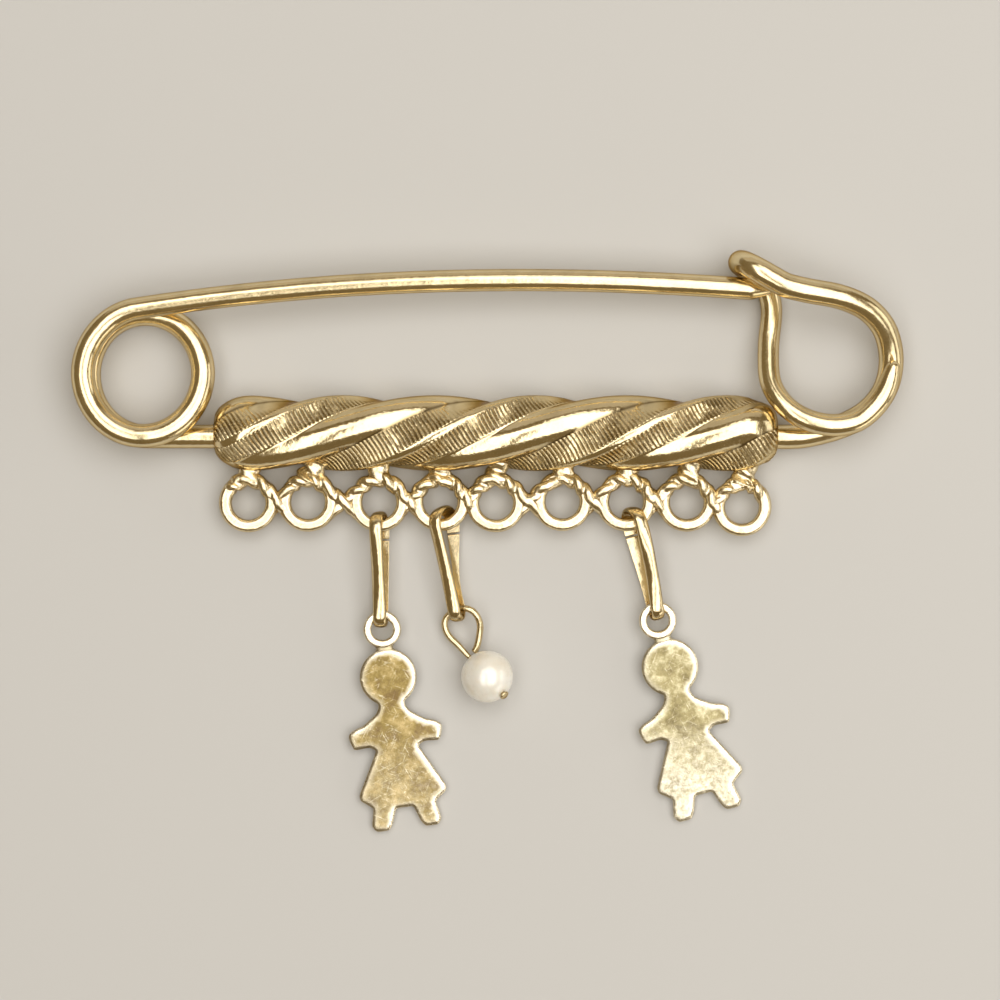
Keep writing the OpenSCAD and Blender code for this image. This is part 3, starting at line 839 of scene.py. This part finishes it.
def around_path(path, radii, angles, wide=1.0, deep=1.0):
    """Points round a path at each of the angles, drawn out to an oval by the two shares."""
    side, up = carried_frames(path[:, :3])
    across = wide * np.cos(angles)[None, :, None] * side[:, None, :]
    above = deep * np.sin(angles)[None, :, None] * up[:, None, :]
    return (path[:, None, :3] + radii[..., None] * (across + above)).reshape(-1, 3)


def roped(path, seed):
    """A strand with the lumps and notches of a rope where its path's fourth column is near 1."""
    sides = 20
    run = run_along(path)
    angles = 2 * math.pi * np.arange(sides) / sides
    local = np.random.default_rng(seed)
    knots = np.arange(0, run[-1] + 2, 0.9)
    drift = np.interp(run, knots, local.normal(0, 1, len(knots)))
    turn = 2 * math.pi * run / STRAND_TWIST + 0.5 * drift
    lump = np.abs(np.cos(angles[None, :] - turn[:, None]))
    swell = 0.78 + path[:, 3:4] * (0.22 + 0.06 * drift[:, None])
    radii = STRAND_R * swell * (1 + STRAND_NOTCH * path[:, 3:4] * (lump - 0.6))
    nose = np.minimum(run, run[-1] - run)
    radii = radii * np.sqrt(np.clip(1 - (1 - np.clip(nose / 0.3, 0, 1)) ** 2, 0.01, 1))[:, None]
    return around_path(path, radii, angles), skin(len(path), sides)


def joined(name, parts, material):
    """Several grids of points as one object."""
    points, faces = [], []
    for some, skin_faces in parts:
        start = sum(len(p) for p in points)
        points.append(some)
        faces += [tuple(k + start for k in f) for f in skin_faces]
    return solid(name, np.vstack(points), faces, material)


def stub_path(i):
    """From the top of a ring up into the bar, a little uneven."""
    x, y = RING_PLACES[i]
    lean = STUB_LEAN[i]
    foot = np.array([x, y + RING_MID_R - 0.1, RING_Z + 0.05])
    head = np.array([x + lean, BAR_Y - 1.5, RING_Z + 0.2])
    rows = []
    for t in np.linspace(0, 1, 30):
        p = foot * (1 - t) + head * t
        rows.append((*p, STUB_R + STUB_FLARE * abs(2 * t - 0.8) ** 2.2))
    return np.array(rows)


def lumpy(path, seed):
    """A short cast stub whose radius is its path's fourth column, with a knobbly surface."""
    sides = 24
    local = np.random.default_rng(seed)
    angles = 2 * math.pi * np.arange(sides) / sides
    wobble = 0.0
    for _ in range(4):
        n, k = local.integers(1, 4), local.uniform(1.5, 7)
        wobble = wobble + local.uniform(0.03, 0.07) * np.sin(
            n * angles[None, :] + k * np.linspace(0, 3, len(path))[:, None] + local.uniform(0, 6)
        )
    radii = path[:, 3:4] * (1 + wobble)
    return around_path(path, radii, angles, 0.8, 1.25), skin(len(path), sides)


ring_row = rings()
weave = joined("ring_weave", [roped(strand_path(True), 3), roped(strand_path(False), 4)], RING_GOLD)
stubs = joined("ring_stubs", [lumpy(stub_path(i), 20 + i) for i in range(len(RING_PLACES))], RING_GOLD)
for piece in (ring_row, weave, stubs):
    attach(piece, "brooch")


# Bails


def turned(points, dip, lean):
    """Points turned about x by the dip, then about z by the lean, in degrees."""
    for axis, degrees in ("x", dip), ("z", lean):
        c, s = math.cos(math.radians(degrees)), math.sin(math.radians(degrees))
        matrix = {"x": [[1, 0, 0], [0, c, -s], [0, s, c]], "z": [[c, -s, 0], [s, c, 0], [0, 0, 1]]}[axis]
        points = points @ np.array(matrix).T
    return points


def bail_loop():
    """The strip's middle line: half round at the top, straight legs, half round at the foot; y and z."""
    top, foot = BAIL_TOP_R + BAIL_T / 2, BAIL_FOOT_R + BAIL_T / 2
    lean = math.asin((top - foot) / BAIL_SPAN)

    def round_part(reach, down, first, last, count):
        a = np.linspace(first, last, count)
        return np.column_stack([reach * np.sin(a) - down, -reach * np.cos(a)])

    over = round_part(top, 0, -lean, math.pi + lean, 60)
    under = round_part(foot, BAIL_SPAN, math.pi + lean, 2 * math.pi - lean, 50)
    along = np.linspace(0, 1, 60)[1:-1, None]
    front = over[-1] * (1 - along) + under[0] * along
    back = under[-1] * (1 - along) + over[0] * along
    return np.vstack([over, front, under, back])


def strip_section():
    """The strip's section: a rounded top with a flat middle, and a flat inside."""
    a = np.linspace(0, math.pi, 15)
    outer = np.column_stack([BAIL_W / 2 * np.cos(a), BAIL_T * np.abs(np.sin(a)) ** 0.6 - BAIL_T / 2])
    u = np.linspace(-0.94, 0.94, 8)
    return np.vstack([outer, np.column_stack([BAIL_W / 2 * u, np.full(8, -BAIL_T / 2)])])


def bail(node, ring, shift, seat, lift, lean, turn_top, turn_foot, late, twist, waist):
    """A rounded strip bent into a loop; its ends meet on the leg at the back."""
    loop = bail_loop()
    # the loop is opened where the ends meet, on its back leg
    gap = int(np.argmin(np.abs(loop[:, 0] - BAIL_JOIN) + (loop[:, 1] > 0) * 9))
    loop = even_flat(np.roll(loop, -gap, 0), BAIL_STEP)
    ahead = np.gradient(loop, axis=0)
    ahead /= np.linalg.norm(ahead, axis=1)[:, None]
    out = np.column_stack([-ahead[:, 1], ahead[:, 0]])
    middle = np.array([-BAIL_SPAN / 2, 0])
    if np.sum((loop[10] - middle) * out[10]) < 0:
        out = -out
    sides = strip_section()
    rows = len(loop)
    # the strip is twisted so that its back leg lies level and its front leg faces to the left
    behind = np.clip(0.5 - loop[:, 1] / BAIL_FOOT_R / 2, 0, 1)
    along = np.clip(-loop[:, 0] / BAIL_SPAN, 0, 1)
    roll = np.radians(turn_top) * behind * (1 - 0.9 * along)
    roll += np.radians(twist) * (1 - behind) * np.sin(math.pi * along)
    breadth = sides[None, :, 0] * (1 - waist * behind * np.sin(math.pi * along**1.5))[:, None]
    wide = breadth * np.cos(roll)[:, None] + sides[None, :, 1] * np.sin(roll)[:, None]
    deep = sides[None, :, 1] * np.cos(roll)[:, None] - breadth * np.sin(roll)[:, None]
    grid = np.zeros((rows, len(sides), 3))
    grid[..., 0] = wide
    grid[..., 1] = loop[:, None, 0] + out[:, None, 0] * deep
    grid[..., 2] = loop[:, None, 1] + out[:, None, 1] * deep
    points = grid.reshape(-1, 3)
    dip = math.degrees(math.asin((RING_Z - RING_TO_FOOT_Z) / BAIL_SPAN))
    down = np.clip(-points[:, 1] / BAIL_SPAN, 0, 1)
    turn = np.radians(turn_top + (turn_foot - turn_top) * down**late)
    across, deep = points[:, 0].copy(), points[:, 2].copy()
    points[:, 0] = across * np.cos(turn) + deep * np.sin(turn)
    points[:, 2] = deep * np.cos(turn) - across * np.sin(turn)
    x, y = RING_PLACES[ring]
    seat_at = np.array([x + shift, y - RING_HOLE_R - BAIL_TOP_R + seat, RING_Z + lift])
    points = turned(points, dip, lean) + seat_at
    piece = solid(node + "_strip", points, skin(rows, len(sides)), STRIP_GOLD)
    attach(piece, "brooch")
    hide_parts(node)


for one in BAILS:
    bail(**one)


# Girl charms


def girl_outline():
    """The charm's outline about the head's middle, its corners worn round by casting and polishing."""
    neck = math.atan2(GIRL_NECK_AT[1], GIRL_NECK_AT[0])
    head = [
        (GIRL_HEAD_R * math.cos(a), GIRL_HEAD_R * math.sin(a))
        for a in np.linspace(-math.pi - neck, neck - 2 * math.pi, 120)
    ]
    right = [(x, -y) for x, y in GIRL_HALF]
    left = [(-x, -y) for x, y in reversed(GIRL_HALF)]
    ring = np.array(head + right + left)
    return worn_round(even_flat(np.vstack([ring, ring[:1]]), 0.08)[:-1], 5)


def inset(outline, distance):
    """The outline moved inwards by a distance; its points slide along it, so that they stay evenly apart."""
    path = outline.copy()
    steps = int(distance / 0.015)
    for _ in range(steps):
        ahead = np.roll(path, -1, 0) - np.roll(path, 1, 0)
        ahead /= np.linalg.norm(ahead, axis=1)[:, None]
        path = path + np.column_stack([ahead[:, 1], -ahead[:, 0]]) * distance / steps
        middle = (np.roll(path, 1, 0) + np.roll(path, -1, 0)) / 2 - path
        along = np.sum(middle * ahead, axis=1)[:, None] * ahead
        path = path + 0.5 * along + 0.2 * (middle - along)
    return path


def filled(outline, step):
    """Points and triangles over the inside of an outline, its own points first."""
    low, high = outline.min(0), outline.max(0)
    xs, ys = np.arange(low[0], high[0], step), np.arange(low[1], high[1], step * 0.87)
    grid = np.array([(x + (j % 2) * step / 2, y) for j, y in enumerate(ys) for x in xs])
    ahead = np.roll(outline, -1, 0)
    inside = np.zeros(len(grid), bool)
    clear = np.full(len(grid), True)
    for (x0, y0), (x1, y1) in zip(outline, ahead):
        crosses = ((y0 > grid[:, 1]) != (y1 > grid[:, 1]))
        with np.errstate(divide="ignore", invalid="ignore"):
            at = x0 + (grid[:, 1] - y0) * (x1 - x0) / (y1 - y0 if y1 != y0 else 1e-12)
        inside ^= crosses & (grid[:, 0] < at)
        clear &= (grid[:, 0] - x0) ** 2 + (grid[:, 1] - y0) ** 2 > (step * 0.5) ** 2
    grid = grid[inside & clear]
    points = np.vstack([outline, grid])
    n = len(outline)
    made = delaunay_2d_cdt([Vector(p) for p in points], [], [list(range(n))], 1, 1e-6)
    if len(made[0]) != len(points):
        raise RuntimeError("the outline crosses itself")
    return points, [tuple(made[3][k][0] for k in f) for f in made[2]]


def charm_body(outline, half):
    """The flat body with its rounded rim: points, faces, and how polished the rim is at each point, with a
    painted highlight added where it faces up or to the right.
    """
    n = len(outline)
    # distance in from the edge, height, and how much of the rim's polish is there
    levels = [
        (0.3, -half, 0.2), (0.16, -half * 0.93, 0.7), (0.05, -half * 0.72, 1), (0.0, -half * 0.35, 1),
        (0.0, half - 0.2, 1), (0.01, half - 0.15, 1), (0.03, half - 0.11, 1), (0.07, half - 0.078, 1),
        (0.13, half - 0.048, 1), (0.19, half - 0.026, 1), (0.25, half - 0.01, 1), (0.31, half, 0.7),
    ]
    # the rim is lightened by a painted highlight, strongest where it faces up or to the right; the outline
    # runs clockwise
    ahead = np.roll(outline, -3, 0) - np.roll(outline, 3, 0)
    ahead /= np.linalg.norm(ahead, axis=1)[:, None]
    facing = -0.85 * ahead[:, 1] + 0.5 * ahead[:, 0]
    painted_rim_highlight = 0.4 + 0.6 * np.clip(0.5 + 1.4 * facing, 0, 1)
    rings = [np.column_stack([inset(outline, inwards), np.full(n, z)]) for inwards, z, _ in levels]
    points = np.vstack(rings)
    rim_polish_and_highlight = np.concatenate([rim * painted_rim_highlight for _, _, rim in levels]).tolist()
    last = (len(levels) - 1) * n
    faces = []
    for i in range(0, last, n):
        faces += [(i + k, i + (k + 1) % n, i + n + (k + 1) % n, i + n + k) for k in range(n)]
    faces.append(tuple(range(n)))
    # the face sags a little between its edges
    face_points, face_tris = filled(points[last:, :2], 0.3)
    faces += [tuple(k + last for k in f) for f in face_tris]
    inner = face_points[n:]
    sag = 0.02 * np.sin(1.3 * inner[:, 0] + 0.6) * np.sin(0.9 * inner[:, 1])
    points = np.vstack([points, np.column_stack([inner, half + sag])])
    return points, faces, rim_polish_and_highlight + [0.0] * len(inner)


def charm_ring(half):
    """The ring on the girl's head, its section a square with round corners."""
    inside = GIRL_HOLE_R - 0.08
    ring_mid, ring_half = (GIRL_RING_R + inside) / 2, (GIRL_RING_R - inside) / 2
    rounds, sides = 96, 24
    around, across = np.meshgrid(
        np.linspace(0, 2 * math.pi, rounds, endpoint=False),
        np.linspace(0, 2 * math.pi, sides, endpoint=False),
        indexing="ij",
    )
    reach = ring_mid + ring_half * np.sign(np.cos(across)) * np.abs(np.cos(across)) ** 0.7
    height = half * np.sign(np.sin(across)) * np.abs(np.sin(across)) ** 0.7
    loop = np.stack([reach * np.cos(around), reach * np.sin(around), height], -1).reshape(-1, 3)
    return loop, skin(rounds, sides, closed=True)


def charm_neck():
    """The neck of metal between the ring and the head."""
    turns = np.linspace(0, 2 * math.pi, 20, endpoint=False)
    neck = [(wide * math.sin(t), -GIRL_RING_R - low, thick * math.cos(t))
            for low, wide, thick in GIRL_NECK for t in turns]
    return np.array(neck), skin(len(GIRL_NECK), len(turns))


def girl(node, at, lean, material):
    """A flat cast girl with a rounded, polished rim that carries a painted highlight, and the ring on her
    head.
    """
    half = GIRL_T / 2
    points, faces, rim_polish_and_highlight = charm_body(girl_outline(), half)
    points[:, 1] -= GIRL_RING_TO_HEAD
    for (some, skin_faces), polish in ((charm_ring(half), 1.0), (charm_neck(), 0.35)):
        faces += [tuple(k + len(points) for k in f) for f in skin_faces]
        points = np.vstack([points, some])
        rim_polish_and_highlight += [polish] * len(some)
    # her feet lie just above the surface
    length = GIRL_RING_TO_HEAD + GIRL_HALF[GIRL_FOOT][1]
    dip = math.degrees(math.asin((RING_TO_FOOT_Z - half - FOOT_CLEAR) / length))
    points = turned(points, dip, lean) + np.array([at[0], at[1], RING_TO_FOOT_Z])
    piece = solid(node + "_satin", points, faces, material, {"rim": rim_polish_and_highlight})
    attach(piece, "brooch")
    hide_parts(node)


for one, satin in zip(GIRLS, (LEFT_SATIN, RIGHT_SATIN)):
    girl(*one, satin)


# Pearl drop

pearl_axis = np.array([
    math.cos(PEARL_TIP_UP) * math.cos(PEARL_HEADING),
    math.cos(PEARL_TIP_UP) * math.sin(PEARL_HEADING),
    math.sin(PEARL_TIP_UP),
])


def pearl():
    """A slightly uneven pearl, dimpled where the wire goes in and comes out."""
    rows, sides = 64, 96
    polar = np.linspace(0, math.pi, rows + 1)
    side = np.cross(pearl_axis, (0, 0, 1))
    side /= np.linalg.norm(side)
    up = np.cross(pearl_axis, side)
    points = [PEARL_AT + pearl_axis * (PEARL_R - PEARL_DIMPLE)]
    for p in polar[1:-1]:
        for k in range(sides):
            a = 2 * math.pi * k / sides
            way = math.cos(p) * pearl_axis + math.sin(p) * (math.cos(a) * side + math.sin(a) * up)
            dimple = PEARL_DIMPLE * math.exp(-(math.sin(p) / 0.16) ** 2)
            uneven = 0.012 * math.sin(2 * a + 0.7) * math.sin(p) ** 2 + 0.01 * math.sin(3 * p + a)
            points.append(np.array(PEARL_AT) + way * (PEARL_R - 0.02 - dimple + uneven))
    points.append(PEARL_AT - pearl_axis * (PEARL_R - PEARL_DIMPLE))
    faces = [(0, 1 + k, 1 + (k + 1) % sides) for k in range(sides)]
    for i in range(rows - 2):
        p, q = 1 + i * sides, 1 + (i + 1) * sides
        faces += [(p + k, q + k, q + (k + 1) % sides, p + (k + 1) % sides) for k in range(sides)]
    last, end = 1 + (rows - 2) * sides, len(points) - 1
    faces += [(last + k, end, last + (k + 1) % sides) for k in range(sides)]
    piece = solid("pearl_bead", np.array(points), faces, PEARL)
    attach(piece, "brooch")
    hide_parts("pearl")


def pearl_wire():
    """The wire through the pearl, with its head below and its loop above."""
    stem = [(*(PEARL_AT + r * pearl_axis), gauge) for r, gauge in PEARL_STEM]
    rest = stem[PEARL_HEAD_ROWS:] + [(*p, PEARL_WIRE_R) for p in PEARL_LOOP]
    path = np.vstack([stem[:PEARL_HEAD_ROWS], relaxed(even_steps(smooth_curve(rest, 8), 0.06), 6)])
    piece = round_wire("pearl_wire_loop", [rounded_end(path, 0.1)], STRIP_GOLD, 20)
    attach(piece, "brooch")
    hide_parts("pearl_wire")


pearl()
pearl_wire()


# Floor, light and camera, in metres

FLOOR_REACH = 0.8
FLOOR_DROP = 0.00003
MIDDLE = (0.00084, 0.00331, 0.0)
VIEW_WIDTH = 0.0762
VIEW_HEIGHT_ABOVE = 0.0025
DAYLIGHT = (1.0, 0.985, 0.96)
ROOM_TONE = (0.62, 0.46, 0.24)
ROOM_STRENGTH = 0.31
FLOOR_TONE = (0.59, 0.585, 0.57)
# Each light: name, place, what it faces, its two sides, power and colour
LIGHTS = [
    ("overhead left", (-0.15, 0.0, 0.42), (-0.15, 0.0, 0.0), (0.17, 0.57), 0.72, DAYLIGHT),
    ("overhead right", (0.20, 0.0, 0.42), (0.20, 0.0, 0.0), (0.39, 0.57), 1.65, DAYLIGHT),
    ("overhead middle", (-0.03, 0.19, 0.42), (-0.03, 0.19, 0.0), (0.07, 0.19), 0.085, DAYLIGHT),
    ("upper card", (0.10, 0.34, 0.405), MIDDLE, (0.24, 0.13), 0.16, DAYLIGHT),
    ("window", (0.0, 0.60, 0.16), MIDDLE, (1.0, 0.4), 0.42, (1.0, 0.97, 0.92)),
    ("right card", (0.55, 0.02, 0.20), MIDDLE, (0.45, 0.22), 0.4, (1.0, 0.98, 0.94)),
    ("lower right card", (0.42, -0.40, 0.12), MIDDLE, (0.32, 0.16), 0.26, (1.0, 0.95, 0.85)),
]


def floor():
    """A plain pale floor, just under the brooch."""
    mesh = bpy.data.meshes.new("floor")
    corners = [(FLOOR_REACH * x, FLOOR_REACH * y, 0) for x, y in ((-1, -1), (1, -1), (1, 1), (-1, 1))]
    mesh.from_pydata(corners, [], [(0, 1, 2, 3)])
    piece = in_scene("floor", mesh)
    piece.location.z = -FLOOR_DROP
    material = bpy.data.materials.new("pale_floor")
    material.use_nodes = True
    shader = material.node_tree.nodes["Principled BSDF"]
    shader.inputs["Base Color"].default_value = (*FLOOR_TONE, 1)
    shader.inputs["Roughness"].default_value = 0.9
    mesh.materials.append(material)


def soft_light(name, at, aim, size, power, colour):
    """A soft rectangle of light."""
    light = bpy.data.lights.new(name, "AREA")
    light.shape = "RECTANGLE"
    light.size, light.size_y = size
    light.energy = power
    light.color = colour
    lamp = in_scene(name, light)
    lamp.location = at
    lamp.rotation_euler = (Vector(aim) - Vector(at)).to_track_quat("-Z", "Y").to_euler()


floor()
for one in LIGHTS:
    soft_light(*one)

world = bpy.data.worlds.new("soft_room")
world.use_nodes = True
world.node_tree.nodes["Background"].inputs["Color"].default_value = (*ROOM_TONE, 1)
world.node_tree.nodes["Background"].inputs["Strength"].default_value = ROOM_STRENGTH
bpy.context.scene.world = world

camera_data = bpy.data.cameras.new("camera")
camera_data.sensor_width = 36
camera_data.lens = 110
camera_data.clip_start = 0.01
camera_data.dof.use_dof = False
camera = in_scene("camera", camera_data)
view_distance = VIEW_WIDTH * camera_data.lens / camera_data.sensor_width
camera.location = (MIDDLE[0], MIDDLE[1], view_distance + VIEW_HEIGHT_ABOVE)
camera.rotation_euler = (0, 0, 0)
bpy.context.scene.camera = camera
bpy.context.scene.view_settings.view_transform = "Standard"
